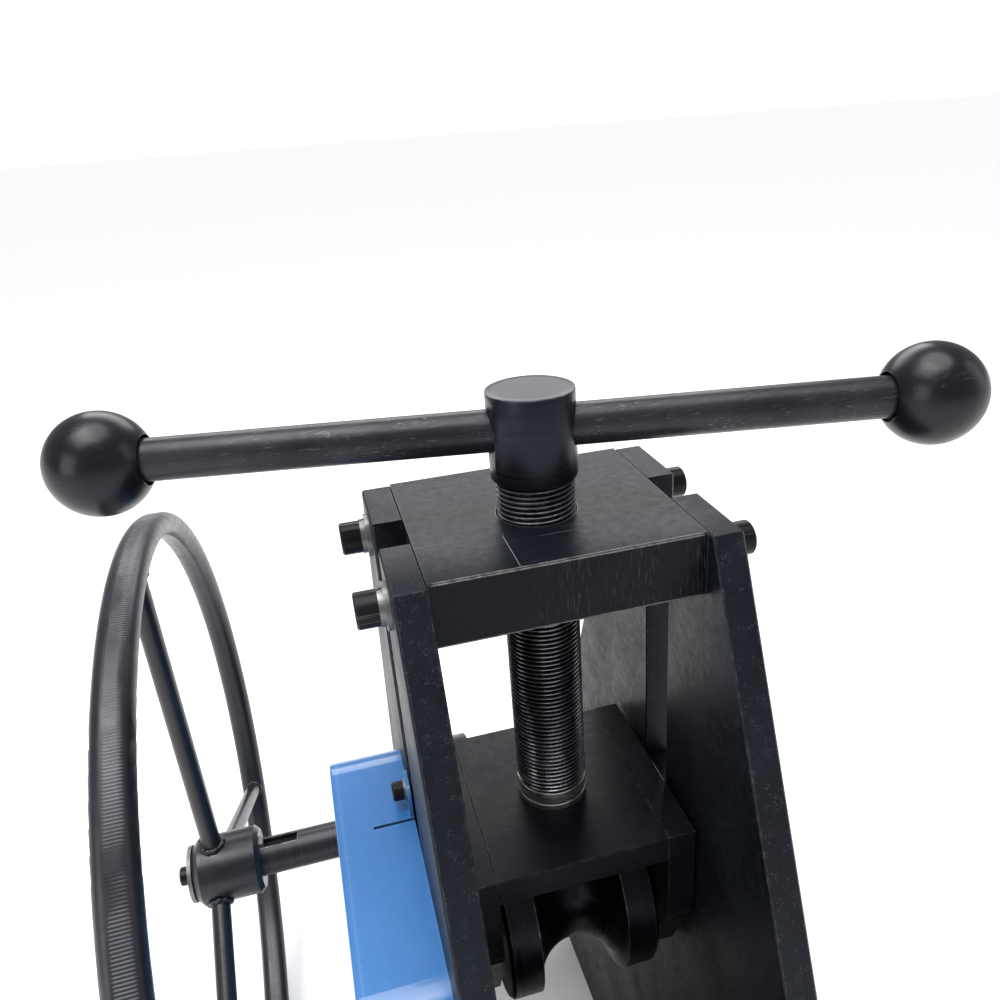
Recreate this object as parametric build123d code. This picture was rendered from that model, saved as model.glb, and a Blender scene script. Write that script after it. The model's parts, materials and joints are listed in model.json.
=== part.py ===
from build123d import *
import os
from math import atan2, ceil, cos, degrees, pi, radians, sin, sqrt, tan

# Bench-top three-roll press for bending tube: two A-shaped side plates, a screw-fed upper
# roller between them, and two geared lower rollers turned by a large hand wheel.
# Millimetres. X runs across the machine, Y from front to back, Z up. The origin is on the
# bench, in the middle of the four mounting holes.

# ---- driving dimensions: frame -----------------------------------------------------------
GAP = 99.0                # between the side plates
PLATE_T = 12.0            # side plate thickness
FRAME_RISE = 232.0        # top of the plates and of the top block above the lower roller axes
TOP_HALF = 45.0           # half depth of a side plate at its top
FOOT_HALF = 208.4         # half depth of a side plate at its foot
KNEE_Z = 60.0             # below this height the plate edges are upright
SLOT_W = 21.3             # guide slot, open at the top
SLOT_BOTTOM_RISE = 3.0    # lowest point of the slot above the lower roller axes

BLOCK_H = 25.0            # top block, which is the nut of the press screw
BLOCK_FRONT = -42.0
BLOCK_BACK = 47.5
TOP_SCREW_Y = 28.5
TAP_DEPTH = 22.0          # tapped holes in the block and in the tie bars
TAP_R = 3.9
CLEAR_R = 4.5             # clearance holes for the 8 mm screws
TOP_SCREW_IN = 17.4       # how far the 8 mm screws go past the plate's inner face
TIE_SCREW_IN = 18.0

ANGLE_LEG = 40.0
ANGLE_T = 6.0
ANGLE_HALF_Y = 190.0
ANGLE_SCREWS = (-140, 0, 140)
ANGLE_SCREW_Z = 23.0
BENCH_OUT = 24.5          # from a plate's outer face to its bench holes
BENCH_Y = 165.0
BENCH_HOLE_R = 5.5
TIE_Y = 150.0
TIE_Z = 78.0
TIE_R = 11.0

# ---- driving dimensions: press screw and carriage ----------------------------------------
SCREW_D = 29.9            # M30 x 2 thread
SCREW_PITCH = 2.0
SCREW_PLAY = 0.05         # radial, in the top block
HEAD_ABOVE = 14.0         # from the top block to the head
HEAD_H = 33.5
HEAD_MORE = 2.7           # head diameter over thread diameter
BAR_DROP = 14.9           # cross hole below the top of the head
BAR_D = 15.8
BAR_PLAY = 0.1
BAR_ANGLE = -11.2         # degrees the bar is swung round at rest
BAR_LEFT = 154.7          # screw axis to the centre of each ball
BAR_RIGHT = 147.0
BALL_D = 38.0
BALL_FLAT = 2.5           # cut off the ball on the bar's side

CARRIAGE_RISE = 96.3      # top of the carriage above the lower roller axes, at rest
CARRIAGE_T = 12.5         # carriage top plate
CARRIAGE_HALF_Y = 43.7
CHEEK_T = 12.0
CHEEK_GAP = 1.5           # cheek to side plate
KEY_PLAY = 0.1            # guide key to each side of its slot
AXLE_DROP = 58.3          # top of the carriage to the upper roller's axle
AXLE_R = 10.0
BUSH_WALL = 3.0

SPIGOT_R = 8.5            # lower end of the screw
BEARING_H = 9.0
BEARING_R = 15.0
BALL_R = 2.4
BALL_TRACK_R = 11.9
BALL_COUNT = 12
RACE_H = 2.9

# ---- driving dimensions: rollers, gears and hand wheel -----------------------------------
LOWER_AXIS_Y = 98.0
ROLLER_R = 42.0
ROLLER_HALF = 33.4
GROOVE_R = 19.4           # for tube up to 38 mm
GROOVE_RAISE = 1.5        # groove centre above the rim
SHAFT_R = 12.5
RUN = 0.05                # radial running clearance
SHAFT_KEY_W = 8.0

MODULE = 3.0
PINION_TEETH = 20
GEAR_W = 12.0
GEAR_OUT = 6.5            # plate to gear
PRESSURE = radians(20)
BACKLASH = 0.30
STUD_R = 8.0

WHEEL_OUT = 71.5          # cover to the middle of the rim and spokes
WHEEL_TOP_GAP = 32.0      # top of the rim to the top of the frame, so that the balls pass over it
WHEEL_BENCH_GAP = 8.0     # bottom of the rim to the bench
RIM_W = 16.5
RIM_H = 13.0
RIM_CORNER = 6.2
HUB_R = 18.0
HUB_OUT = 12.0            # hub length outside and inside the spokes
HUB_IN = 24.0
KEYWAY_BEYOND = 20.5      # how far the keyway shows past the hub
SPOKE_R = 5.0
SPOKE_ANGLES = (91, 211, 331)
WHEEL_SHAFT_R = 10.0
WHEEL_KEY_W = 6.0

# ---- driving dimensions: gear cover ------------------------------------------------------
COVER_DEPTH = 34.0
SHEET = 1.5
COVER_BEND = 18.0         # radius of the bends along the outline
COVER_SEAM = 3.0          # depth at which the flat face is welded to the folded skirt
COVER_CORNERS = ((50, 94), (-72, 82.5), (-137, 11), (-137, -38),         # Y, and Z above the
                 (-90, -100), (90, -100), (138, -38), (138, 12))         # lower roller axes
COVER_TABS = ((0, 0.28), (3, 0.5), (5, 0.5))             # outline edge, place along it
TAB_SCREW = 9.0           # from a tab's root to its screw

# ---- derived -----------------------------------------------------------------------------
IN_X = GAP / 2
OUT_X = IN_X + PLATE_T
WHEEL_R = FRAME_RISE - WHEEL_TOP_GAP
LOWER_AXIS_Z = WHEEL_R + WHEEL_BENCH_GAP
TOP_Z = LOWER_AXIS_Z + FRAME_RISE
SLOT_BOTTOM_Z = LOWER_AXIS_Z + SLOT_BOTTOM_RISE
CARRIAGE_TOP_Z = LOWER_AXIS_Z + CARRIAGE_RISE
COVER_OUTLINE = [(y, LOWER_AXIS_Z + rise) for y, rise in COVER_CORNERS]
TOP_SCREW_Z = TOP_Z - BLOCK_H / 2
BENCH_X = OUT_X + BENCH_OUT
HEAD_D = SCREW_D + HEAD_MORE
HEAD_Z = TOP_Z + HEAD_ABOVE
HEAD_TOP_Z = HEAD_Z + HEAD_H
BAR_Z = HEAD_TOP_Z - BAR_DROP
CHEEK_OUT = IN_X - CHEEK_GAP
CHEEK_IN = CHEEK_OUT - CHEEK_T
KEY_W = SLOT_W - 2 * KEY_PLAY
UPPER_AXIS_Z = CARRIAGE_TOP_Z - AXLE_DROP
CHEEK_SCREWS = [(y, CARRIAGE_TOP_Z - CARRIAGE_T / 2) for y in (-30, 30)]
KEY_SCREW_Z = (UPPER_AXIS_Z + 15, UPPER_AXIS_Z + 41)
BEARING_Z = CARRIAGE_TOP_Z          # underside of the thrust bearing
THREAD_BOTTOM_Z = BEARING_Z + BEARING_H
BUSH_R = SHAFT_R + 3.5
GEAR_X = -(OUT_X + GEAR_OUT + GEAR_W)          # outer face of the gears
IDLER_TEETH = ceil(2 * LOWER_AXIS_Y / MODULE + 1) - PINION_TEETH
CENTRES = MODULE * (PINION_TEETH + IDLER_TEETH) / 2
IDLER_Z = LOWER_AXIS_Z - sqrt(CENTRES ** 2 - LOWER_AXIS_Y ** 2)
IDLER_BORE_R = STUD_R + 2.5
COVER_OUT_X = -(OUT_X + COVER_DEPTH)           # outer face of the gear cover
WHEEL_X = COVER_OUT_X - WHEEL_OUT
WY = LOWER_AXIS_Y
WZ = LOWER_AXIS_Z

os.makedirs("parts", exist_ok=True)


def save(name, *solids):
    """Write one node, made of one or several solids."""
    shape = solids[0] if len(solids) == 1 else Compound(children=list(solids))
    export_step(shape, f"parts/{name}.step")


# ---- simple shapes placed in the machine -------------------------------------------------
def box(x0, x1, y0, y1, z0, z1):
    middle = Pos((x0 + x1) / 2, (y0 + y1) / 2, (z0 + z1) / 2)
    return middle * Box(x1 - x0, y1 - y0, z1 - z0)


def rod_x(radius, x0, x1, y=0.0, z=0.0):
    return Pos((x0 + x1) / 2, y, z) * Rot(0, 90, 0) * Cylinder(radius, abs(x1 - x0))


def rod_z(radius, z0, z1, x=0.0, y=0.0):
    return Pos(x, y, (z0 + z1) / 2) * Cylinder(radius, abs(z1 - z0))


def rod_y(radius, y0, y1, x=0.0, z=0.0):
    return Pos(x, (y0 + y1) / 2, z) * Rot(90, 0, 0) * Cylinder(radius, abs(y1 - y0))


def ring_x(outer, inner, x0, x1, y=0.0, z=0.0):
    return rod_x(outer, x0, x1, y, z) - rod_x(inner, min(x0, x1) - 1, max(x0, x1) + 1, y, z)


def ring_z(outer, inner, z0, z1):
    return rod_z(outer, z0, z1) - rod_z(inner, z0 - 1, z1 + 1)


def slab_x(outline, x0, x1, corner=0.0):
    """A flat outline of (y, z) points, extruded from x0 to x1."""
    points = [(x0, y, z) for y, z in outline]
    wire = Polyline(*points, close=True)
    face = make_face(wire)
    if corner:
        face = fillet(face.vertices(), corner)
    return extrude(face, amount=x1 - x0, dir=(1, 0, 0))


def spin(points, axis):
    """A solid of revolution from (radius, height) points, about Z or about X."""
    profile = make_face(Polyline(*[(r, 0, h) for r, h in points], close=True))
    solid = revolve(profile, Axis.Z)
    return solid if axis == "z" else Rot(0, 90, 0) * solid


def edges_at_x(solid, x):
    return solid.edges().filter_by(lambda e: all(abs(v.X - x) < 0.001 for v in e.vertices()))


# ---- fasteners ---------------------------------------------------------------------------
def cap_screw(size, length, grip=0.0):
    """Socket-head screw along +Z: underside of its head at z = 0, head above, shank below."""
    head_r = {5: 4.25, 6: 5.0, 8: 6.5}[size]
    key = {5: 4.0, 6: 5.0, 8: 6.0}[size]
    head = chamfer(Cylinder(head_r, size, align=(Align.CENTER, Align.CENTER, Align.MIN))
                   .edges().group_by(Axis.Z)[-1], 0.6)
    socket = extrude(Plane.XY.offset(size * 0.45) * RegularPolygon(key / 2, 6, major_radius=False), size)
    shank = Pos(0, 0, -length / 2) * Cylinder(size / 2 - 0.1, length)
    return head - socket + shank


def flat_head_screw(size, length):
    """Countersunk screw along +Z with its flat top at z = 0."""
    r = size / 2 - 0.1
    head_r = size * 0.95
    cone_z = -0.4 - (head_r - r)
    body = spin([(0, 0), (head_r, 0), (head_r, -0.4), (r, cone_z), (r, -length), (0, -length)], "z")
    socket = extrude(Plane.XY.offset(-size * 0.4) * RegularPolygon(size / 3.2, 6, major_radius=False), size)
    return body - socket


def facing(side):
    """Turns +Z to point along +X (side = 1) or -X (side = -1)."""
    return Rot(0, 90 * side, 0)


def washer(outer, inner, thick):
    """Washer from z = 0 up."""
    return Pos(0, 0, thick / 2) * (Cylinder(outer, thick) - Cylinder(inner, thick + 2))


def lock_washer(outer, inner, thick):
    """Split spring washer with a slanted gap, from z = 0 up."""
    gap = Pos((outer + inner) / 2, 0, thick / 2) * Rot(25, 0, 0) * Box(outer, 0.9, thick * 3)
    return washer(outer, inner, thick) - gap


# ---- frame -------------------------------------------------------------------------------
def side_plate(side):
    """One A-shaped plate with the guide slot cut in from the top."""
    outline = [(-FOOT_HALF, 0), (FOOT_HALF, 0), (FOOT_HALF, KNEE_Z), (TOP_HALF, TOP_Z),
               (-TOP_HALF, TOP_Z), (-FOOT_HALF, KNEE_Z)]
    plate = slab_x(outline, IN_X, OUT_X)
    slot_r = SLOT_W / 2
    plate -= box(IN_X - 1, OUT_X + 1, -slot_r, slot_r, SLOT_BOTTOM_Z + slot_r, TOP_Z + 5)
    plate -= rod_x(slot_r, IN_X - 1, OUT_X + 1, 0, SLOT_BOTTOM_Z + slot_r)
    plate = chamfer(edges_at_x(plate, OUT_X), 0.8)
    plate = chamfer(edges_at_x(plate, IN_X), 0.5)
    for y in (-LOWER_AXIS_Y, LOWER_AXIS_Y):
        plate -= rod_x(BUSH_R, IN_X - 1, OUT_X + 1, y, LOWER_AXIS_Z)
    for y in (-TOP_SCREW_Y, TOP_SCREW_Y):
        plate -= rod_x(CLEAR_R, IN_X - 1, OUT_X + 1, y, TOP_SCREW_Z)
    for y in (-TIE_Y, TIE_Y):
        plate -= rod_x(CLEAR_R, IN_X - 1, OUT_X + 1, y, TIE_Z)
    for y in ANGLE_SCREWS:
        plate -= rod_x(TAP_R, IN_X - 1, OUT_X + 1, y, ANGLE_SCREW_Z)
    if side < 0:
        plate = mirror(plate, about=Plane.YZ)
        plate -= rod_x(6.0, -OUT_X - 1, -IN_X + 1, 0, IDLER_Z)
        for y, z in cover_screw_points():
            plate -= rod_x(2.4, -OUT_X - 1, -OUT_X + 0.75 * PLATE_T, y, z)
    return plate


def cover_tab_places():
    """Root point and outward angle of each cover tab, on the cover's outline."""
    places = []
    for edge, share in COVER_TABS:
        y0, z0 = COVER_OUTLINE[edge]
        y1, z1 = COVER_OUTLINE[(edge + 1) % len(COVER_OUTLINE)]
        outward = degrees(atan2(y0 - y1, z1 - z0))
        places.append((y0 + share * (y1 - y0), z0 + share * (z1 - z0), outward))
    return places


def cover_screw_points():
    """Where the cover's screws enter the left plate, outside each tab's root."""
    points = []
    for y, z, a in cover_tab_places():
        points.append((y + TAB_SCREW * cos(radians(a)), z + TAB_SCREW * sin(radians(a))))
    return points


def top_block():
    block = box(-IN_X, IN_X, BLOCK_FRONT, BLOCK_BACK, TOP_Z - BLOCK_H, TOP_Z)
    block = chamfer(block.edges().filter_by(Axis.X), 0.6)
    block -= rod_z(SCREW_D / 2 + SCREW_PLAY, TOP_Z - BLOCK_H - 1, TOP_Z + 1)
    rim = block.edges().filter_by(GeomType.CIRCLE)
    block = chamfer(rim, 0.5)
    for side in (-1, 1):
        for y in (-TOP_SCREW_Y, TOP_SCREW_Y):
            block -= rod_x(TAP_R, side * IN_X, side * (IN_X - TAP_DEPTH), y, TOP_SCREW_Z)
    return block


def side_fasteners(points, seat_x, size, length):
    """Cap screws through both side plates, pointing inwards from seat_x."""
    screws = []
    for side in (-1, 1):
        for y, z in points:
            screws.append(Pos(side * seat_x, y, z) * facing(side) * cap_screw(size, length))
    return screws


def angle_foot(side):
    """L-shaped foot outside one plate, with two bench holes."""
    outline_leg = box(OUT_X, OUT_X + ANGLE_T, -ANGLE_HALF_Y, ANGLE_HALF_Y, 0, ANGLE_LEG)
    flange = box(OUT_X, OUT_X + ANGLE_LEG, -ANGLE_HALF_Y, ANGLE_HALF_Y, 0, ANGLE_T)
    foot = outline_leg + flange
    root = foot.edges().filter_by(Axis.Y).filter_by(
        lambda e: abs(e.center().X - OUT_X - ANGLE_T) < 0.01 and abs(e.center().Z - ANGLE_T) < 0.01)
    foot = fillet(root, 5)
    outer = foot.edges().filter_by(Axis.Z).filter_by(lambda e: e.center().X > OUT_X + ANGLE_LEG - 1)
    foot = fillet(outer, 6)
    for y in ANGLE_SCREWS:
        foot -= rod_x(CLEAR_R, OUT_X - 1, OUT_X + ANGLE_T + 1, y, ANGLE_SCREW_Z)
    for y in (-BENCH_Y, BENCH_Y):
        foot -= rod_z(BENCH_HOLE_R, -1, ANGLE_T + 1, BENCH_X, y)
    return foot if side > 0 else mirror(foot, about=Plane.YZ)


def tie_bar(y):
    bar = rod_x(TIE_R, -IN_X, IN_X, y, TIE_Z)
    bar = chamfer(bar.edges(), 0.6)
    for side in (-1, 1):
        bar -= rod_x(TAP_R, side * IN_X, side * (IN_X - TAP_DEPTH), y, TIE_Z)
    return bar


def shaft_bush(side, y):
    """Flanged bronze bush, flange outside the plate."""
    sleeve = rod_x(BUSH_R, side * IN_X, side * OUT_X, y, LOWER_AXIS_Z)
    flange = rod_x(BUSH_R + 3, side * OUT_X, side * (OUT_X + 3), y, LOWER_AXIS_Z)
    bore = rod_x(SHAFT_R + RUN, side * (IN_X - 1), side * (OUT_X + 4), y, LOWER_AXIS_Z)
    return sleeve + flange - bore


# ---- gear train --------------------------------------------------------------------------
def gear_outline(teeth, phase, y, z):
    """Points of an involute gear in the YZ plane; phase is the angle of one tooth's middle."""
    pitch_r = MODULE * teeth / 2
    base_r = pitch_r * cos(PRESSURE)
    tip_r = pitch_r + MODULE
    root_r = pitch_r - 1.25 * MODULE
    half_tooth = (pi * MODULE / 2 - BACKLASH / 2) / 2 / pitch_r
    at_pitch = tan(PRESSURE) - PRESSURE

    def half_angle(r):
        roll = sqrt(max((r / base_r) ** 2 - 1, 0))
        return half_tooth + at_pitch - (roll - atan2(roll, 1))

    start = max(base_r, root_r + 0.6)
    radii = [start + (tip_r - start) * k / 5 for k in range(6)]
    points = []
    for k in range(teeth):
        middle = radians(phase) + 2 * pi * k / teeth
        flank = [(root_r, half_angle(start) + 0.012)] + [(r, half_angle(r)) for r in radii]
        for r, a in flank:
            points.append((y + r * cos(middle - a), z + r * sin(middle - a)))
        for r, a in reversed(flank):
            points.append((y + r * cos(middle + a), z + r * sin(middle + a)))
    return points


def mesh_phase(own_teeth, from_y, from_z, to_y, to_z, other_teeth, other_phase):
    """Phase for a gear at (to_y, to_z) that meshes with the one at (from_y, from_z)."""
    line = degrees(atan2(to_z - from_z, to_y - from_y))
    other = ((line - other_phase) * other_teeth / 360) % 1
    own = (0.5 - other) % 1
    return line + 180 - own * 360 / own_teeth


def key_seat(y, z, x0, x1, bottom_r, top_r, width):
    """Prism for a parallel key standing straight up from a shaft centre at (y, z)."""
    return box(min(x0, x1), max(x0, x1), y - width / 2, y + width / 2, z + bottom_r, z + top_r)


def keyway(y, x0, x1):
    """Room in a bore for the key of a lower shaft."""
    return key_seat(y, LOWER_AXIS_Z, x0, x1, 0, SHAFT_R + 2.9, SHAFT_KEY_W)


def shaft_key(y, x0, x1):
    """Parallel key that stands in a lower shaft's seat."""
    return key_seat(y, LOWER_AXIS_Z, x0 + 0.1, x1 - 0.1, SHAFT_R - 3.95, SHAFT_R + 2.8, SHAFT_KEY_W - 0.04)


def pinion(y, phase):
    gear = slab_x(gear_outline(PINION_TEETH, phase, y, LOWER_AXIS_Z), GEAR_X, GEAR_X + GEAR_W)
    gear += rod_x(SHAFT_R + 7.5, GEAR_X + GEAR_W, -OUT_X - 3.3, y, LOWER_AXIS_Z)
    gear -= rod_x(SHAFT_R + 0.02, GEAR_X - 1, -OUT_X, y, LOWER_AXIS_Z)
    return gear - keyway(y, GEAR_X - 1, -OUT_X)


def idler():
    gear = slab_x(gear_outline(IDLER_TEETH, 90, 0, IDLER_Z), GEAR_X, GEAR_X + GEAR_W)
    for side_x in (GEAR_X, GEAR_X + GEAR_W):
        recess = ring_x(60.0, 20.0, side_x - 2.5, side_x + 2.5, 0, IDLER_Z)
        gear -= recess
    for k in range(6):
        a = radians(60 * k)
        gear -= rod_x(11.0, GEAR_X - 1, GEAR_X + GEAR_W + 1, 40 * cos(a), IDLER_Z + 40 * sin(a))
    gear += rod_x(IDLER_BORE_R + 4.5, GEAR_X + GEAR_W - 2, -OUT_X - 0.5, 0, IDLER_Z)
    gear -= rod_x(IDLER_BORE_R, GEAR_X - 1, -OUT_X, 0, IDLER_Z)
    return gear


def idler_stud():
    """Shouldered stud screwed into the left plate; its head keeps the idler on."""
    stud = rod_x(6.0, -OUT_X, -IN_X, 0, IDLER_Z)
    stud += rod_x(STUD_R, GEAR_X - 0.8, -OUT_X, 0, IDLER_Z)
    head = rod_x(STUD_R + 4, GEAR_X - 5.8, GEAR_X - 0.8, 0, IDLER_Z)
    head = chamfer(head.edges().group_by(Axis.X)[0], 0.8)
    socket = Pos(GEAR_X - 5.9, 0, IDLER_Z) * Rot(0, 90, 0) * extrude(
        RegularPolygon(4, 6, major_radius=False), 3.1)
    return stud + head - socket


# ---- rollers and shafts ------------------------------------------------------------------
def roller(y, z, bore_r, keyed):
    """Round-grooved bending roller with its axis along X."""
    c = 1.5
    body = spin([(bore_r, -ROLLER_HALF), (ROLLER_R - c, -ROLLER_HALF), (ROLLER_R, -ROLLER_HALF + c),
                 (ROLLER_R, ROLLER_HALF - c), (ROLLER_R - c, ROLLER_HALF), (bore_r, ROLLER_HALF)], "x")
    groove = Rot(0, 90, 0) * Torus(ROLLER_R + GROOVE_RAISE, GROOVE_R)
    body = Pos(0, y, z) * (body - groove)
    if keyed:
        body -= keyway(y, -ROLLER_HALF - 1, ROLLER_HALF + 1)
    return body


def shaft_groove(x, y):
    return ring_x(SHAFT_R + 1, SHAFT_R - 0.8, x - 0.65, x + 0.65, y, LOWER_AXIS_Z)


def lower_shaft(y, left_x):
    """Shaft through both plates with key seats for gear and roller and two clip grooves."""
    shaft = chamfer(rod_x(SHAFT_R, left_x, OUT_X + 8.5, y, LOWER_AXIS_Z).edges(), 0.8)
    for x0, x1 in ((GEAR_X, GEAR_X + GEAR_W), (-20, 20)):
        shaft -= key_seat(y, LOWER_AXIS_Z, x0, x1, SHAFT_R - 4, SHAFT_R + 1.5, SHAFT_KEY_W)
    shaft -= shaft_groove(GEAR_X - 0.9, y)
    shaft -= shaft_groove(OUT_X + 4.0, y)
    return shaft


def clip(x, y):
    """External retaining ring."""
    seat_r = SHAFT_R - 0.75
    ring = ring_x(SHAFT_R + 2.3, seat_r, x - 0.55, x + 0.55, y, LOWER_AXIS_Z)
    ring -= box(x - 1, x + 1, y - 5.5, y + 5.5, LOWER_AXIS_Z - SHAFT_R - 4.5, LOWER_AXIS_Z)
    for side in (-1, 1):
        ring += ring_x(2.4, 0.9, x - 0.55, x + 0.55, y + side * 7.8, LOWER_AXIS_Z - SHAFT_R - 1.9)
    return ring - rod_x(seat_r, x - 1, x + 1, y, LOWER_AXIS_Z)


def shaft_spacer(side, y):
    start = side * (ROLLER_HALF + 0.05)
    return ring_x(SHAFT_R + 5.5, SHAFT_R + RUN, start, side * (IN_X - 0.4), y, LOWER_AXIS_Z)


def roller_set(prefix, y, phase):
    """Everything that turns on one lower shaft between and beside the plates."""
    save(f"{prefix}_roller", roller(y, LOWER_AXIS_Z, SHAFT_R + 0.02, True))
    save(f"{prefix}_gear", pinion(y, phase))
    save(f"{prefix}_keys", shaft_key(y, GEAR_X, GEAR_X + GEAR_W), shaft_key(y, -20, 20))
    save(f"{prefix}_spacers", *[shaft_spacer(s, y) for s in (-1, 1)])
    save(f"{prefix}_clips", clip(GEAR_X - 0.9, y), clip(OUT_X + 4.0, y))


# ---- carriage ----------------------------------------------------------------------------
def carriage_plate():
    plate = box(-CHEEK_IN, CHEEK_IN, -CARRIAGE_HALF_Y, CARRIAGE_HALF_Y,
                CARRIAGE_TOP_Z - CARRIAGE_T, CARRIAGE_TOP_Z)
    plate = chamfer(plate.edges().filter_by(Axis.X), 0.5)
    plate -= rod_z(SPIGOT_R + 0.05, CARRIAGE_TOP_Z - CARRIAGE_T - 1, CARRIAGE_TOP_Z + 1)
    for side in (-1, 1):
        for y, z in CHEEK_SCREWS:
            plate -= rod_x(2.9, side * CHEEK_IN, side * (CHEEK_IN - 16), y, z)
    return plate


def cheek(side):
    """Side cheek of the carriage, tapered below the axle to clear the lower rollers."""
    a = UPPER_AXIS_Z
    outline = [(-CARRIAGE_HALF_Y, CARRIAGE_TOP_Z), (-CARRIAGE_HALF_Y, a + 14), (-25, a - 26),
               (25, a - 26), (CARRIAGE_HALF_Y, a + 14), (CARRIAGE_HALF_Y, CARRIAGE_TOP_Z)]
    plate = slab_x(outline, CHEEK_IN, CHEEK_OUT)
    plate = chamfer(edges_at_x(plate, CHEEK_OUT), 0.5)
    plate = chamfer(edges_at_x(plate, CHEEK_IN), 0.3)
    plate -= rod_x(AXLE_R + 0.02, CHEEK_IN - 1, CHEEK_OUT + 1, 0, a)
    for y, z in CHEEK_SCREWS:
        plate -= rod_x(3.1, CHEEK_IN - 1, CHEEK_OUT + 1, y, z)
        plate -= Pos(CHEEK_OUT, y, z) * facing(1) * countersink(6)
    for z in KEY_SCREW_Z:
        plate -= rod_x(2.9, CHEEK_IN - 1, CHEEK_OUT + 1, 0, z)
    return plate if side > 0 else mirror(plate, about=Plane.YZ)


def countersink(size):
    head_r = size * 0.95 + 0.05
    r = size / 2
    low = -0.45 - (head_r - r)
    return spin([(0, 1), (head_r, 1), (head_r, -0.45), (r, low), (0, low)], "z")


def guide_key(side):
    """Block that slides in the plate's slot and also closes off the axle's end."""
    half = KEY_W / 2
    key = box(CHEEK_OUT, OUT_X - 1, -half, half, UPPER_AXIS_Z - 8, UPPER_AXIS_Z + 52)
    key = chamfer(key.edges().filter_by(Axis.X), 0.8)
    for z in KEY_SCREW_Z:
        key -= rod_x(3.1, CHEEK_OUT - 1, OUT_X, 0, z)
        key -= Pos(OUT_X - 1, 0, z) * facing(1) * countersink(6)
    return key if side > 0 else mirror(key, about=Plane.YZ)


def carriage_screws(points, seat_x, length):
    screws = []
    for side in (-1, 1):
        for y, z in points:
            screws.append(Pos(side * (seat_x - 0.05), y, z) * facing(side) * flat_head_screw(6, length))
    return screws


def roller_bush(side):
    """Flanged bush in one end of the upper roller; the flange runs on the cheek."""
    bush = rod_x(AXLE_R + BUSH_WALL, side * (ROLLER_HALF - 25), side * ROLLER_HALF, 0, UPPER_AXIS_Z)
    bush += rod_x(AXLE_R + BUSH_WALL + 4, side * ROLLER_HALF, side * (CHEEK_IN - 0.3), 0, UPPER_AXIS_Z)
    return bush - rod_x(AXLE_R + RUN, side * 1, side * CHEEK_OUT, 0, UPPER_AXIS_Z)


# ---- thrust bearing and press screw ------------------------------------------------------
def race(z0, z1, bore_r, outer_r):
    ring = chamfer(ring_z(outer_r, bore_r, z0, z1).edges(), 0.25)
    track = Pos(0, 0, BEARING_Z + BEARING_H / 2) * Torus(BALL_TRACK_R, BALL_R + 0.08)
    return ring - track


def ball_places():
    middle = BEARING_Z + BEARING_H / 2
    for k in range(BALL_COUNT):
        a = 2 * pi * (k + 0.5) / BALL_COUNT
        yield Pos(BALL_TRACK_R * cos(a), BALL_TRACK_R * sin(a), middle)


def bearing_balls():
    return [place * Sphere(BALL_R) for place in ball_places()]


def bearing_cage():
    middle = BEARING_Z + BEARING_H / 2
    cage = ring_z(BEARING_R - 0.2, SPIGOT_R + 0.4, middle - 0.9, middle + 0.9)
    for place in ball_places():
        cage -= place * Sphere(BALL_R + 0.1)
    return cage


def press_screw():
    """Screw with ring grooves at the thread pitch, a plain head and a bearing spigot."""
    r = SCREW_D / 2
    root = r - 0.61 * SCREW_PITCH
    head_r = HEAD_D / 2
    low = BEARING_Z - CARRIAGE_T - 0.4
    profile = [(0, low), (SPIGOT_R - 0.5, low), (SPIGOT_R, low + 0.6), (SPIGOT_R, THREAD_BOTTOM_Z),
               (r - 2.45, THREAD_BOTTOM_Z), (r - 1.45, THREAD_BOTTOM_Z + 1)]
    z = THREAD_BOTTOM_Z + 1.5
    while z < HEAD_Z - 3.5:
        profile += [(root, z), (r, z + 0.85), (r, z + 1.15)]
        z += SCREW_PITCH
    profile += [(root, z), (root, HEAD_Z - 0.6), (head_r - 0.9, HEAD_Z), (head_r, HEAD_Z + 0.9),
                (head_r, HEAD_TOP_Z - 0.9), (head_r - 0.9, HEAD_TOP_Z), (0, HEAD_TOP_Z)]
    screw = spin(profile, "z")
    screw -= bar_rod(BAR_D / 2 + BAR_PLAY, -HEAD_D, HEAD_D)
    return screw - rod_z(2.9, low - 1, BEARING_Z + 5)


def bar_rod(radius, start, end):
    """Round bar along the cross hole of the screw head."""
    turn = Rot(0, 0, BAR_ANGLE)
    return turn * rod_x(radius, start, end, 0, BAR_Z)


def ball_knob(side):
    """Ball knob with a flat, recessed face towards the screw."""
    reach = BAR_LEFT if side < 0 else BAR_RIGHT
    flat_x = BALL_FLAT - BALL_D / 2
    ball = Sphere(BALL_D / 2) & box(flat_x, BALL_D, -BALL_D, BALL_D, -BALL_D, BALL_D)
    ball -= rod_x(BAR_D / 2 + 1.3, flat_x - 1, flat_x + 2.6)
    ball -= rod_x(BAR_D / 2, flat_x, 2.0)
    return Rot(0, 0, BAR_ANGLE) * Pos(side * reach, 0, BAR_Z) * Rot(0, 0, 0 if side > 0 else 180) * ball


# ---- hand wheel --------------------------------------------------------------------------
def wheel_rim():
    section = Pos(WHEEL_R - RIM_H / 2, 0) * RectangleRounded(RIM_H, RIM_W, RIM_CORNER)
    rim = revolve(Plane.XZ * section, Axis.Z)
    return Pos(WHEEL_X, WY, WZ) * Rot(0, 90, 0) * rim


def wheel_hub():
    out_x = WHEEL_X - HUB_OUT
    in_x = WHEEL_X + HUB_IN
    hub = rod_x(HUB_R, out_x, in_x, WY, WZ)
    hub = chamfer(hub.edges().group_by(Axis.X)[-1], 2.4)
    hub = chamfer(hub.edges().group_by(Axis.X)[0], 4.0)
    hub -= rod_x(WHEEL_SHAFT_R + 0.02, out_x - 1, in_x + 1, WY, WZ)
    return hub - key_seat(WY, WZ, out_x - 1, in_x + 1, 0, WHEEL_SHAFT_R + 2.8, WHEEL_KEY_W)


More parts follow.
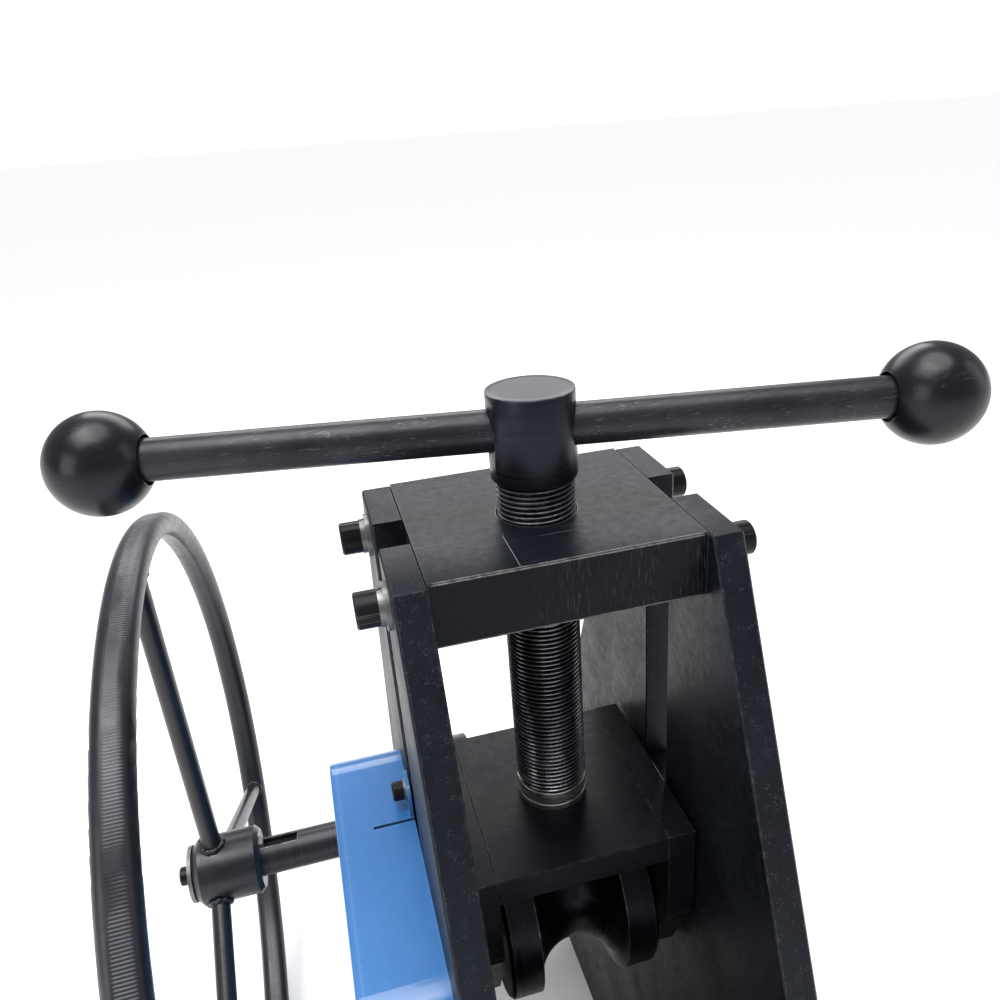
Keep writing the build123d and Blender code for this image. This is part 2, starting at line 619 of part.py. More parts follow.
def wheel_spokes(rim):
    spokes = []
    for angle in SPOKE_ANGLES:
        spoke = rod_z(SPOKE_R, HUB_R - 2, WHEEL_R - RIM_H + 3)
        spoke = Pos(WHEEL_X, WY, WZ) * Rot(angle - 90, 0, 0) * spoke
        spoke -= rod_x(HUB_R, WHEEL_X - 30, WHEEL_X + 30, WY, WZ)
        spoke -= rim
        spokes.append(spoke)
    return spokes


def drive_shaft():
    """Rear roller shaft, reduced outside the cover to carry the hand wheel."""
    out_x = WHEEL_X - HUB_OUT
    shaft = lower_shaft(WY, COVER_OUT_X - 1.5)
    shaft += rod_x(WHEEL_SHAFT_R, out_x + 0.4, COVER_OUT_X, WY, WZ)
    seat_end = WHEEL_X + HUB_IN + KEYWAY_BEYOND
    shaft -= key_seat(WY, WZ, out_x + 3, seat_end, WHEEL_SHAFT_R - 3.5, WHEEL_SHAFT_R + 2, WHEEL_KEY_W)
    return shaft - rod_x(2.95, out_x, out_x + 26, WY, WZ)


# ---- gear cover --------------------------------------------------------------------------
def gear_cover():
    """Sheet cover over the gears, open towards the left plate: flat face and folded skirt."""
    outer = slab_x(COVER_OUTLINE, COVER_OUT_X, -OUT_X, corner=COVER_BEND)
    outer = fillet(edges_at_x(outer, COVER_OUT_X), 1.2)
    face = make_face(Polyline(*[(COVER_OUT_X, y, z) for y, z in COVER_OUTLINE], close=True))
    inner_face = offset(fillet(face.vertices(), COVER_BEND), -SHEET)
    inner = extrude(inner_face, amount=-COVER_OUT_X - OUT_X + 5, dir=(1, 0, 0))
    shell = outer - Pos(SHEET, 0, 0) * inner
    for y, z, a in cover_tab_places():
        tab = box(-OUT_X - SHEET, -OUT_X, -1.4, 15.5, -8, 8)
        tab = fillet(tab.edges().filter_by(Axis.X).group_by(Axis.Y)[-1], 5)
        tab -= rod_x(2.75, -OUT_X - 3, -OUT_X + 1, TAB_SCREW, 0)
        relief = box(-OUT_X - 18, -OUT_X + 1, -4, 1.0, 8.4, 9.9)
        place = Pos(0, y, z) * Rot(a, 0, 0)
        shell = shell + place * tab - place * relief
    shell -= rod_x(SHAFT_R + 1.5, COVER_OUT_X - 1, COVER_OUT_X + 3, WY, WZ)
    seam = box(COVER_OUT_X - 1, COVER_OUT_X + COVER_SEAM, -200, 200, 0, 400)
    return shell & seam, shell - seam


def cover_fasteners():
    screws = []
    washers = []
    for y, z in cover_screw_points():
        place = Pos(-OUT_X - SHEET, y, z) * facing(-1)
        washers.append(place * washer(5.0, 2.7, 1.0))
        screws.append(place * Pos(0, 0, 1.0) * cap_screw(5, 10))
    return screws, washers


# ---- build everything --------------------------------------------------------------------
def build_frame():
    for name, side in (("left", -1), ("right", 1)):
        save(f"side_plate_{name}", side_plate(side))
        save(f"angle_foot_{name}", angle_foot(side))
    save("top_block", top_block())
    save("tie_bar_front", tie_bar(-TIE_Y))
    save("tie_bar_rear", tie_bar(TIE_Y))
    top_points = [(y, TOP_SCREW_Z) for y in (-TOP_SCREW_Y, TOP_SCREW_Y)]
    save("top_screws", *side_fasteners(top_points, OUT_X + 3.6, 8, PLATE_T + 3.6 + TOP_SCREW_IN))
    washers = []
    lock_washers = []
    for side in (-1, 1):
        for y, z in top_points:
            seat = Pos(side * OUT_X, y, z) * facing(side)
            washers.append(seat * washer(8.6, 4.3, 1.6))
            lock_washers.append(seat * Pos(0, 0, 1.6) * lock_washer(6.9, 4.1, 2.0))
    save("top_washers", *washers)
    save("top_lock_washers", *lock_washers)
    tie_points = [(-TIE_Y, TIE_Z), (TIE_Y, TIE_Z)]
    save("tie_screws", *side_fasteners(tie_points, OUT_X, 8, PLATE_T + TIE_SCREW_IN))
    foot_points = [(y, ANGLE_SCREW_Z) for y in ANGLE_SCREWS]
    save("foot_screws", *side_fasteners(foot_points, OUT_X + ANGLE_T, 8, ANGLE_T + PLATE_T - 1))
    bushes = [shaft_bush(s, y) for y in (-LOWER_AXIS_Y, LOWER_AXIS_Y) for s in (-1, 1)]
    save("shaft_bushes", *bushes)
    save("idler_stud", idler_stud())
    cover_face, cover_skirt = gear_cover()
    save("cover_face", cover_face)
    save("cover_skirt", cover_skirt)
    screws, washers = cover_fasteners()
    save("cover_screws", *screws)
    save("cover_washers", *washers)


def build_gear_train():
    rear = mesh_phase(PINION_TEETH, 0, IDLER_Z, LOWER_AXIS_Y, LOWER_AXIS_Z, IDLER_TEETH, 90)
    front = mesh_phase(PINION_TEETH, 0, IDLER_Z, -LOWER_AXIS_Y, LOWER_AXIS_Z, IDLER_TEETH, 90)
    save("idler_gear", idler())
    save("idler_bush", ring_x(IDLER_BORE_R, STUD_R + RUN, GEAR_X, -OUT_X - 0.5, 0, IDLER_Z))
    roller_set("front", -LOWER_AXIS_Y, front)
    save("front_shaft", lower_shaft(-LOWER_AXIS_Y, GEAR_X - 4))
    roller_set("rear", LOWER_AXIS_Y, rear)
    save("drive_shaft", drive_shaft())


def build_carriage():
    save("carriage_plate", carriage_plate())
    for name, side in (("left", -1), ("right", 1)):
        save(f"cheek_{name}", cheek(side))
        save(f"guide_key_{name}", guide_key(side))
        save(f"roller_bush_{name}", roller_bush(side))
    save("cheek_screws", *carriage_screws(CHEEK_SCREWS, CHEEK_OUT, CHEEK_T + 12))
    key_reach = OUT_X - 1 - CHEEK_IN - 2.5
    save("key_screws", *carriage_screws([(0, z) for z in KEY_SCREW_Z], OUT_X - 1, key_reach))
    save("upper_axle", chamfer(rod_x(AXLE_R, -CHEEK_OUT, CHEEK_OUT, 0, UPPER_AXIS_Z).edges(), 0.8))
    save("upper_roller", roller(0, UPPER_AXIS_Z, AXLE_R + BUSH_WALL, False))
    save("bearing_lower_race", race(BEARING_Z, BEARING_Z + RACE_H, SPIGOT_R + 0.5, BEARING_R))
    save("bearing_balls", *bearing_balls())
    save("bearing_cage", bearing_cage())


def build_press_screw():
    save("press_screw", press_screw())
    save("bearing_upper_race", race(THREAD_BOTTOM_Z - RACE_H, THREAD_BOTTOM_Z, SPIGOT_R, BEARING_R - 0.1))
    low = BEARING_Z - CARRIAGE_T - 0.4
    save("retaining_washer", ring_z(13.0, 3.2, low - 3, low))
    button = spin([(0, 0), (5.2, 0), (4.6, 1.8), (3.2, 3.2), (0, 3.3)], "z")
    button -= extrude(Plane.XY.offset(1.5) * RegularPolygon(2, 6, major_radius=False), 5)
    button += Pos(0, 0, -7) * Cylinder(2.9, 14)
    save("retaining_screw", Pos(0, 0, low - 3) * Rot(180, 0, 0) * button)
    bar = chamfer(bar_rod(BAR_D / 2, -BAR_LEFT - 1.9, BAR_RIGHT + 1.9).edges(), 0.8)
    save("tommy_bar", bar)
    save("ball_knob_left", ball_knob(-1))
    save("ball_knob_right", ball_knob(1))


def build_hand_wheel():
    rim = wheel_rim()
    out_x = WHEEL_X - HUB_OUT
    save("wheel_rim", rim)
    save("wheel_hub", wheel_hub())
    save("wheel_spokes", *wheel_spokes(rim))
    key = key_seat(WY, WZ, out_x + 3.1, WHEEL_X + HUB_IN + 2,
                   WHEEL_SHAFT_R - 3.45, WHEEL_SHAFT_R + 2.7, WHEEL_KEY_W - 0.04)
    save("wheel_key", key)
    save("hub_washer", ring_x(HUB_R - 3, 3.3, out_x - 2, out_x, WY, WZ))
    save("hub_bolt", Pos(out_x - 2, WY, WZ) * facing(-1) * cap_screw(6, 25))


build_frame()
build_gear_train()
build_carriage()
build_press_screw()
build_hand_wheel()
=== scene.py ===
import json
import math
import random

import bpy
from mathutils import Matrix, Vector


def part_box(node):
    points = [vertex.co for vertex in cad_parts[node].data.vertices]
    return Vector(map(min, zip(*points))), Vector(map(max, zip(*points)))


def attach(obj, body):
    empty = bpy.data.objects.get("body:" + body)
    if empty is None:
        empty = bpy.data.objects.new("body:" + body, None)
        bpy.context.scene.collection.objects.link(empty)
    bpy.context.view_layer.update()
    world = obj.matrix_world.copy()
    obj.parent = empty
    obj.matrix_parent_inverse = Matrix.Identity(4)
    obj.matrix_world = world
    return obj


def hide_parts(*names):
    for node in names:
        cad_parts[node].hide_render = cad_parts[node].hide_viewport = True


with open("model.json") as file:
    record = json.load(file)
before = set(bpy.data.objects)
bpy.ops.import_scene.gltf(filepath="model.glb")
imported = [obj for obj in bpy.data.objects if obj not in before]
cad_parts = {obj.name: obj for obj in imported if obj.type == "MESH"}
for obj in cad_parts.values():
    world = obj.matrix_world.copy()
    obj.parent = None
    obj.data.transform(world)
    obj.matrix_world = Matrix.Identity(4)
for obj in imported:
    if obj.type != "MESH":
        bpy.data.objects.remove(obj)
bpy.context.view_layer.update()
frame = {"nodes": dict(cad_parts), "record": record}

MM = 0.001
record = frame["record"]
joints = {j["name"]: j for j in record["behaviour"]["joints"]}
BLOCK_SCRATCH = ((-0.0177, -0.0163), (-0.0178, -0.0414))      # the one long scratch on top of the block
BLOCK_JOINT_X = 0.0485              # where the block's front edge runs into the side plates
HEAD_HEIGHT = 33.5 * MM             # head of the press screw
THREAD_PITCH = 2.0 * MM
THREAD_CREST_R = 14.93 * MM
THREAD_ROOT_R = 13.72 * MM
SPIGOT_R = 8.45 * MM
CORE_R = 13.7 * MM
RIB_PITCH = 0.0013                  # ribs round the tread of the hand wheel
RIB_OFFSET = 0.0015                 # ribbed band, from the middle of the rim towards the machine
SPOKE_DEGREES = (91, 211, 331)
HUB_BEAD = (5.3 * MM, 1.7 * MM)     # ring radius and bead radius of a spoke's weld at the hub
RIM_BEAD = (5.1 * MM, 1.4 * MM)     # the same at the rim
RIM_BEAD_DEPTH = 13.2 * MM          # weld at the rim, in from the rim's outside
SENSOR_WIDTH = 36.0
PHOTO_FOCAL = 0.83824               # focal length, in picture widths
FLOOR_RADIUS = 60.0
FLOOR_Z = -0.0006
FLOOR_SIDES = 64


# ---- node helpers ---------------------------------------------------------------------
class Tree:
    """Thin wrapper that makes shader nodes short to write."""

    def __init__(self, name):
        self.mat = bpy.data.materials.new(name)
        self.mat.use_nodes = True
        self.t = self.mat.node_tree
        self.t.nodes.clear()
        self.out = self.node("ShaderNodeOutputMaterial")
        self.bsdf = self.node("ShaderNodeBsdfPrincipled")
        self.link(self.bsdf.outputs[0], self.out.inputs[0])
        self.coord = self.node("ShaderNodeTexCoord").outputs["Object"]

    def node(self, kind, **props):
        n = self.t.nodes.new(kind)
        for k, v in props.items():
            setattr(n, k, v)
        return n

    def link(self, a, b):
        self.t.links.new(a, b)

    def feed(self, socket, value):
        """Links a socket to another, or sets it to a number or a colour."""
        if isinstance(value, bpy.types.NodeSocket):
            self.link(value, socket)
        elif isinstance(value, tuple):
            socket.default_value = (*value, 1.0)
        else:
            socket.default_value = value

    def math(self, op, a, b=0.0, clamp=False):
        n = self.node("ShaderNodeMath", operation=op, use_clamp=clamp)
        self.feed(n.inputs[0], a)
        self.feed(n.inputs[1], b)
        return n.outputs[0]

    def scaled(self, scale, turn=(0, 0, 0)):
        m = self.node("ShaderNodeMapping")
        self.link(self.coord, m.inputs[0])
        m.inputs["Scale"].default_value = scale
        m.inputs["Rotation"].default_value = turn
        return m.outputs[0]

    def noise(self, scale, detail=4.0, rough=0.55, vector=None):
        n = self.node("ShaderNodeTexNoise")
        self.link(vector or self.coord, n.inputs["Vector"])
        n.inputs["Scale"].default_value = scale
        n.inputs["Detail"].default_value = detail
        n.inputs["Roughness"].default_value = rough
        return n.outputs["Fac"]

    def cells(self, scale):
        n = self.node("ShaderNodeTexVoronoi")
        self.link(self.coord, n.inputs["Vector"])
        n.inputs["Scale"].default_value = scale
        return n.outputs["Distance"]

    def span(self, value, low, high, to_low=0.0, to_high=1.0, smooth=True):
        """Maps value from low..high to to_low..to_high, clamped."""
        n = self.node("ShaderNodeMapRange", interpolation_type="SMOOTHSTEP" if smooth else "LINEAR")
        self.feed(n.inputs["Value"], value)
        n.inputs["From Min"].default_value = low
        n.inputs["From Max"].default_value = high
        n.inputs["To Min"].default_value = to_low
        n.inputs["To Max"].default_value = to_high
        return n.outputs[0]

    def blend(self, factor, a, b):
        n = self.node("ShaderNodeMix", data_type="RGBA")
        self.feed(n.inputs[0], factor)
        self.feed(n.inputs[6], a)
        self.feed(n.inputs[7], b)
        return n.outputs[2]

    def fmix(self, factor, a, b):
        n = self.node("ShaderNodeMix", data_type="FLOAT")
        self.feed(n.inputs[0], factor)
        self.feed(n.inputs[2], a)
        self.feed(n.inputs[3], b)
        return n.outputs[0]

    def bump(self, height, distance, strength=1.0, after=None):
        n = self.node("ShaderNodeBump")
        self.feed(n.inputs["Height"], height)
        n.inputs["Distance"].default_value = distance
        n.inputs["Strength"].default_value = strength
        if after:
            self.link(after, n.inputs["Normal"])
        return n.outputs[0]

    def edges(self, radius):
        """1 on sharp edges, 0 on flats."""
        bevel = self.node("ShaderNodeBevel", samples=6)
        bevel.inputs["Radius"].default_value = radius
        geo = self.node("ShaderNodeNewGeometry")
        dot = self.node("ShaderNodeVectorMath", operation="DOT_PRODUCT")
        self.link(bevel.outputs[0], dot.inputs[0])
        self.link(geo.outputs["Normal"], dot.inputs[1])
        return self.math("SUBTRACT", 1.0, dot.outputs["Value"])

    def stroke(self, ends, half_width):
        """1 along a straight line between two points in the XY plane."""
        (x0, y0), (x1, y1) = ends
        x, y = self.axes()[:2]
        length = math.hypot(x1 - x0, y1 - y0)
        ux, uy = (x1 - x0) / length, (y1 - y0) / length
        px = self.math("SUBTRACT", x, x0)
        py = self.math("SUBTRACT", y, y0)
        along = self.math("ADD", self.math("MULTIPLY", px, ux), self.math("MULTIPLY", py, uy))
        off = self.math("SUBTRACT", self.math("MULTIPLY", px, uy), self.math("MULTIPLY", py, ux))
        line = self.span(self.math("ABSOLUTE", off), half_width * 0.5, half_width, 1.0, 0.0)
        inside = self.span(self.math("ABSOLUTE", self.math("SUBTRACT", along, length / 2)),
                           length / 2 - 0.001, length / 2, 1.0, 0.0)
        return self.math("MULTIPLY", line, inside)

    def parts(self, vector):
        """The x, y and z outputs of a vector."""
        n = self.node("ShaderNodeSeparateXYZ")
        self.link(vector, n.inputs[0])
        return n.outputs

    def axes(self):
        return self.parts(self.coord)

    def normals(self):
        return self.parts(self.node("ShaderNodeNewGeometry").outputs["Normal"])

    def done(self, color, rough, metal=0.0, normal=None, coat=0.0, coat_rough=0.1, specular=0.5):
        b = self.bsdf
        self.feed(b.inputs["Base Color"], color)
        self.feed(b.inputs["Roughness"], rough)
        self.feed(b.inputs["Metallic"], metal)
        b.inputs["Specular IOR Level"].default_value = specular
        b.inputs["Coat Weight"].default_value = coat
        b.inputs["Coat Roughness"].default_value = coat_rough
        if normal:
            self.link(normal, b.inputs["Normal"])
        return self.mat


# ---- finishes --------------------------------------------------------------------------
def scratches(t, turn, density=0.64, length=9.0, across=700.0):
    """Thin straight marks running along the mapped X axis."""
    v = t.scaled((length, across, across), turn)
    lines = t.noise(1.0, 3.0, 0.6, v)
    gate = t.span(t.noise(14.0, 2.0), 0.42, 0.62)
    return t.math("MULTIPLY", t.span(lines, density, density + 0.05), gate)


def black_steel(name, base=(0.0050, 0.0065, 0.0105), rough=0.40, grain=0.00003, wear=0.55, wear_r=0.0011,
                marks=(0, 0, 0), mark_gain=0.2, specks=0.0, cloud=0.5, metal=0.25):
    """Black oxide over steel: cloudy sheen, fine grain, fine marks and bright worn edges."""
    t = Tree(name)
    cloud_n = t.noise(22.0, 5.0, 0.6)
    fine = t.noise(2600.0, 3.0, 0.7)
    mid = t.noise(260.0, 4.0, 0.6)
    light = tuple(c * 1.9 for c in base)
    color = t.blend(t.span(cloud_n, 0.35, 0.7, 0.0, cloud), base, light)
    lines = scratches(t, marks)
    color = t.blend(t.math("MULTIPLY", lines, mark_gain), color, (0.32, 0.32, 0.33))
    if specks:
        dots = t.span(t.cells(1700.0), 0.12, 0.28, 1.0, 0.0)
        gate = t.span(t.noise(260.0, 3.0), 0.48, 0.64)
        dots = t.math("MULTIPLY", t.math("MULTIPLY", dots, gate), specks)
        color = t.blend(dots, color, (0.45, 0.45, 0.46))
    rub = t.math("MULTIPLY", t.span(t.edges(wear_r * 0.8), 0.012, 0.10), t.span(mid, 0.38, 0.66))
    rub = t.math("MULTIPLY", rub, wear)
    color = t.blend(rub, color, (0.36, 0.355, 0.35))
    r = t.span(mid, 0.3, 0.75, rough - 0.07, rough + 0.08, smooth=False)
    r = t.math("ADD", r, t.span(cloud_n, 0.35, 0.7, -0.05, 0.07))
    r = t.math("SUBTRACT", r, t.math("MULTIPLY", rub, 0.12), clamp=True)
    m = t.math("ADD", t.math("MULTIPLY", rub, 1.0 - metal), metal, clamp=True)
    n = t.bump(fine, grain)
    n = t.bump(t.math("MULTIPLY", lines, -1.0), 0.00002, 0.7, n)
    return t.done(color, r, m, n, specular=0.2)


def block_steel(name):
    """The top block: ground top with a few scratches, front face with upright tool scratches and a
    painted shade darkening it.
    """
    t = Tree(name)
    x = t.axes()[0]
    base = (0.0055, 0.0070, 0.0110)
    cloud_n = t.noise(26.0, 5.0, 0.6)
    color = t.blend(t.span(cloud_n, 0.35, 0.7, 0.0, 0.6), base, (0.012, 0.0145, 0.020))
    normal = t.normals()
    front = t.span(t.math("MULTIPLY", normal[1], -1.0), 0.5, 0.8)
    # painted shade: faces turned to the front (-Y) are darkened towards a deep blue-black
    color = t.blend(t.math("MULTIPLY", front, 0.8), color, (0.002, 0.003, 0.0055))
    top = t.span(normal[2], 0.5, 0.8)
    lines = t.noise(1.0, 3.0, 0.65, t.scaled((2300.0, 30.0, 150.0), (0, 0.05, 0)))
    part = t.span(t.noise(60.0, 3.0, 0.6, t.scaled((1.0, 0.3, 0.4))), 0.30, 0.55)
    side = t.span(x, -0.030, 0.010, 0.12, 1.0)
    upright = t.math("MULTIPLY", t.span(lines, 0.54, 0.68), t.math("MULTIPLY", part, side))
    upright = t.math("MULTIPLY", upright, front)
    color = t.blend(t.math("MULTIPLY", upright, 0.32), color, (0.11, 0.115, 0.13))
    thin = t.math("ADD", scratches(t, (0, 0, 0.9), 0.665, 7.0, 900.0),
                  scratches(t, (0, 0, -0.35), 0.67, 9.0, 1100.0))
    thin = t.math("ADD", thin, t.stroke(BLOCK_SCRATCH, 0.00018), clamp=True)
    thin = t.math("MULTIPLY", thin, top)
    color = t.blend(t.math("MULTIPLY", thin, 0.5, clamp=True), color, (0.40, 0.40, 0.41))
    mid = t.noise(330.0, 4.0, 0.65)
    rub = t.math("MULTIPLY", t.span(t.edges(0.0010), 0.010, 0.09), t.span(mid, 0.34, 0.56, 0.45, 1.0))
    clear_of_joint = t.span(t.math("ABSOLUTE", x), BLOCK_JOINT_X - 0.0015, BLOCK_JOINT_X, 1.0, 0.1)
    rub = t.math("MULTIPLY", rub, clear_of_joint)
    color = t.blend(t.math("MULTIPLY", rub, 0.9), color, (0.50, 0.49, 0.48))
    r = t.span(mid, 0.3, 0.75, 0.30, 0.44, smooth=False)
    r = t.math("SUBTRACT", r, t.math("MULTIPLY", upright, 0.08))
    n = t.bump(t.noise(2400.0, 3.0, 0.7), 0.00002)
    n = t.bump(t.math("MULTIPLY", t.math("ADD", upright, thin), -1.0), 0.00004, 0.8, n)
    m = t.math("ADD", 0.15, t.math("MULTIPLY", rub, 0.6), clamp=True)
    return t.done(color, r, m, n, specular=0.14)


def turned_steel(name, axis, base=(0.008, 0.0092, 0.014), rough=0.32, pitch=900.0, wear=0.6, bright=0.25,
                 relief=0.00003, crest=None, top=0.0):
    """Lathe-turned black steel, marked round the axis; crests can be rubbed lighter, and a top face can
    get a painted highlight.
    """
    t = Tree(name)
    scale = [18.0, 18.0, 18.0]
    scale["xyz".index(axis)] = pitch
    rings = t.noise(1.0, 2.0, 0.6, t.scaled(scale))
    mid = t.noise(240.0, 4.0, 0.6)
    color = t.blend(t.span(rings, 0.35, 0.75, 0.0, 0.7), base, tuple(c * 2.0 for c in base))
    rub = t.math("MULTIPLY", t.span(t.edges(0.0010), 0.012, 0.10), t.span(mid, 0.35, 0.65))
    rub = t.math("MULTIPLY", rub, wear)
    patch = t.math("MULTIPLY", t.span(t.noise(48.0, 4.0, 0.6), 0.55, 0.75), bright)
    color = t.blend(patch, color, (0.22, 0.22, 0.22))
    color = t.blend(rub, color, (0.42, 0.41, 0.40))
    if crest:
        x, y = t.axes()[:2]
        r2 = t.math("ADD", t.math("MULTIPLY", x, x), t.math("MULTIPLY", y, y))
        worn = t.span(t.math("SQRT", r2), crest[0], crest[1], 0.0, 0.50)
        worn = t.math("MULTIPLY", worn, t.span(mid, 0.30, 0.55, 0.5, 1.0))
        color = t.blend(worn, color, (0.40, 0.41, 0.44))
    # painted highlight: faces pointing up are made lighter by the amount given in top
    if top:
        color = t.blend(t.span(t.normals()[2], 0.8, 0.95, 0.0, top), color, (0.20, 0.20, 0.205))
    r = t.span(rings, 0.3, 0.75, rough - 0.06, rough + 0.10, smooth=False)
    n = t.bump(rings, relief)
    n = t.bump(t.noise(2100.0, 2.0), 0.00001, 1.0, n)
    return t.done(color, r, 0.7, n)


def bar_steel(name, direction):
    """The tommy bar: satin black with long scuffs, rubbed bright where it slides in the head."""
    t = Tree(name)
    turn = (0, 0, -math.atan2(direction[1], direction[0]))

    def stretched(along, across, detail, rough):
        return t.noise(1.0, detail, rough, t.scaled((along, across, across), turn))

    d = t.math("ABSOLUTE", t.parts(t.scaled((1, 1, 1), turn))[0])
    near = t.span(d, 0.022, 0.100, 1.0, 0.25)
    grain = t.span(stretched(420.0, 1300.0, 3.0, 0.7), 0.55, 0.66)
    patch = t.span(stretched(38.0, 110.0, 3.0, 0.6), 0.50, 0.66)
    rub = t.math("MULTIPLY", t.math("MULTIPLY", grain, patch), near)
    lines = t.span(stretched(14.0, 900.0, 2.0, 0.6), 0.62, 0.70, 0.0, 0.22)
    rub = t.math("ADD", rub, lines, clamp=True)
    base = t.blend(t.span(t.noise(35.0, 4.0), 0.35, 0.7), (0.015, 0.0152, 0.020), (0.030, 0.0305, 0.037))
    color = t.blend(t.math("MULTIPLY", rub, 0.55), base, (0.36, 0.34, 0.32))
    r = t.span(t.noise(300.0, 4.0), 0.3, 0.75, 0.28, 0.42, smooth=False)
    r = t.math("SUBTRACT", r, t.math("MULTIPLY", rub, 0.08))
    n = t.bump(stretched(300.0, 1800.0, 3.0, 0.6), 0.00003)
    n = t.bump(t.math("MULTIPLY", rub, -1.0), 0.00003, 0.8, n)
    m = t.math("ADD", 0.35, t.math("MULTIPLY", rub, 0.5), clamp=True)
    return t.done(color, r, m, n, specular=0.35)


def bright_steel(name, base=(0.26, 0.26, 0.255), rough=0.42, brush=(40.0, 500.0, 500.0)):
    """Zinc or bearing steel, brushed, with faint stains."""
    t = Tree(name)
    lines = t.noise(1.0, 3.0, 0.6, t.scaled(brush))
    stain = t.noise(60.0, 4.0, 0.5)
    color = t.blend(t.span(stain, 0.42, 0.70), base, tuple(c * 0.75 for c in base))
    edge = t.span(t.edges(0.0005), 0.04, 0.25, 0.0, 0.15)
    color = t.blend(edge, color, (0.55, 0.55, 0.54))
    r = t.span(lines, 0.3, 0.75, rough - 0.06, rough + 0.10)
    r = t.math("ADD", r, t.span(stain, 0.4, 0.7, 0.0, 0.10))
    return t.done(color, r, 1.0, t.bump(lines, 0.00002))


def blue_paint(name):
    """Gloss enamel on folded sheet, with faint orange peel, dust, chipped edges and a painted highlight
    along the edges.
    """
    t = Tree(name)
    cloud_n = t.noise(9.0, 4.0)
    color = t.blend(t.span(cloud_n, 0.35, 0.7), (0.040, 0.184, 0.490), (0.042, 0.190, 0.500))
    dust = t.span(t.cells(260.0), 0.03, 0.07, 1.0, 0.0)
    dust = t.math("MULTIPLY", dust, t.span(t.noise(70.0, 2.0), 0.60, 0.64, 0.0, 0.45))
    color = t.blend(dust, color, (0.03, 0.08, 0.20))
    edge = t.edges(0.0012)
    # painted highlight: sharp edges are made pale blue-white
    pale = t.span(edge, 0.01, 0.12, 0.0, 0.15)
    color = t.blend(pale, color, (0.45, 0.62, 0.85))
    chip = t.math("MULTIPLY", t.span(edge, 0.03, 0.14), t.span(t.noise(310.0, 4.0, 0.7), 0.66, 0.70))
    color = t.blend(chip, color, (0.06, 0.06, 0.065))
    r = t.span(t.noise(160.0, 4.0), 0.3, 0.7, 0.25, 0.29, smooth=False)
    r = t.math("ADD", r, t.math("MULTIPLY", chip, 0.3))
    n = t.bump(t.noise(240.0, 2.0), 0.000008)
    n = t.bump(t.math("MULTIPLY", chip, -1.0), 0.00008, 1.0, n)
    return t.done(color, r, 0.0, n, coat=0.5, coat_rough=0.08)


def rim_paint(name, centre, radius):
    """Black lacquer over a turned rim; chatter marks run across the outer and inner tread."""
    t = Tree(name)
    x, y, z = t.axes()
    dy = t.math("SUBTRACT", y, centre[1])
    dz = t.math("SUBTRACT", z, centre[2])
    angle = t.math("ARCTAN2", dz, dy)
    wobble = t.math("MULTIPLY", t.noise(30.0, 2.0), 2.5)
    phase = t.math("ADD", t.math("MULTIPLY", angle, round(2 * math.pi * radius / RIB_PITCH)), wobble)
    rib = t.span(t.math("SINE", phase), -0.7, 0.9)
    off = t.math("ABSOLUTE", t.math("SUBTRACT", x, centre[0] + RIB_OFFSET))
    band = t.span(off, 0.0026, 0.0042, 1.0, 0.0)
    r2 = t.math("ADD", t.math("MULTIPLY", dy, dy), t.math("MULTIPLY", dz, dz))
    far = t.span(t.math("SQRT", r2), radius - 0.004, radius - 0.002)
    part = t.span(t.noise(16.0, 3.0, 0.6), 0.36, 0.52)
    ribs = t.math("MULTIPLY", t.math("MULTIPLY", rib, band), t.math("MULTIPLY", far, part))
    cloud_n = t.noise(30.0, 4.0, 0.6)
    color = t.blend(t.span(cloud_n, 0.35, 0.7), (0.013, 0.014, 0.019), (0.024, 0.025, 0.032))
    color = t.blend(t.math("MULTIPLY", ribs, 0.42), color, (0.26, 0.27, 0.30))
    nick = t.span(t.cells(240.0), 0.03, 0.08, 1.0, 0.0)
    nick = t.math("MULTIPLY", nick, t.span(t.noise(90.0, 2.0), 0.58, 0.64))
    color = t.blend(t.math("MULTIPLY", nick, 0.8), color, (0.55, 0.56, 0.58))
    r = t.span(t.noise(210.0, 4.0), 0.3, 0.75, 0.30, 0.46, smooth=False)
    n = t.bump(ribs, 0.00028)
    n = t.bump(t.noise(900.0, 3.0), 0.00003, 1.0, n)
    return t.done(color, r, 0.25, n, coat=0.15, coat_rough=0.25)


def lacquer(name, base=(0.011, 0.012, 0.015), rough=0.34):
    """Black lacquer on welded steel, a little uneven."""
    t = Tree(name)
    cloud_n = t.noise(60.0, 4.0, 0.6)
    color = t.blend(t.span(cloud_n, 0.35, 0.7), base, tuple(c * 1.8 for c in base))
    rub = t.span(t.edges(0.0009), 0.015, 0.12)
    rub = t.math("MULTIPLY", rub, t.span(t.noise(300.0, 3.0), 0.45, 0.65))
    color = t.blend(t.math("MULTIPLY", rub, 0.2), color, (0.30, 0.30, 0.31))
    r = t.span(t.noise(230.0, 4.0), 0.3, 0.75, rough - 0.07, rough + 0.10, smooth=False)
    n = t.bump(t.noise(700.0, 3.0), 0.00004)
    return t.done(color, r, 0.25, n, coat=0.15, coat_rough=0.25)


def knob_plastic(name):
    """Moulded black phenolic ball with a satin gloss and hairline handling marks."""
    t = Tree(name)
    hair = t.noise(1.0, 2.0, 0.6, t.scaled((70.0, 1400.0, 200.0), (0.4, 0.9, 0.3)))
    marks = t.math("MULTIPLY", t.span(hair, 0.66, 0.70), 0.35)
    color = t.blend(marks, (0.004, 0.005, 0.009), (0.05, 0.05, 0.055))
    r = t.span(t.noise(95.0, 4.0), 0.3, 0.7, 0.24, 0.36, smooth=False)
    r = t.math("ADD", r, t.math("MULTIPLY", marks, 0.4))
    n = t.bump(t.noise(620.0, 3.0), 0.000025)
    return t.done(color, r, 0.0, n, coat=0.08, coat_rough=0.2, specular=0.3)


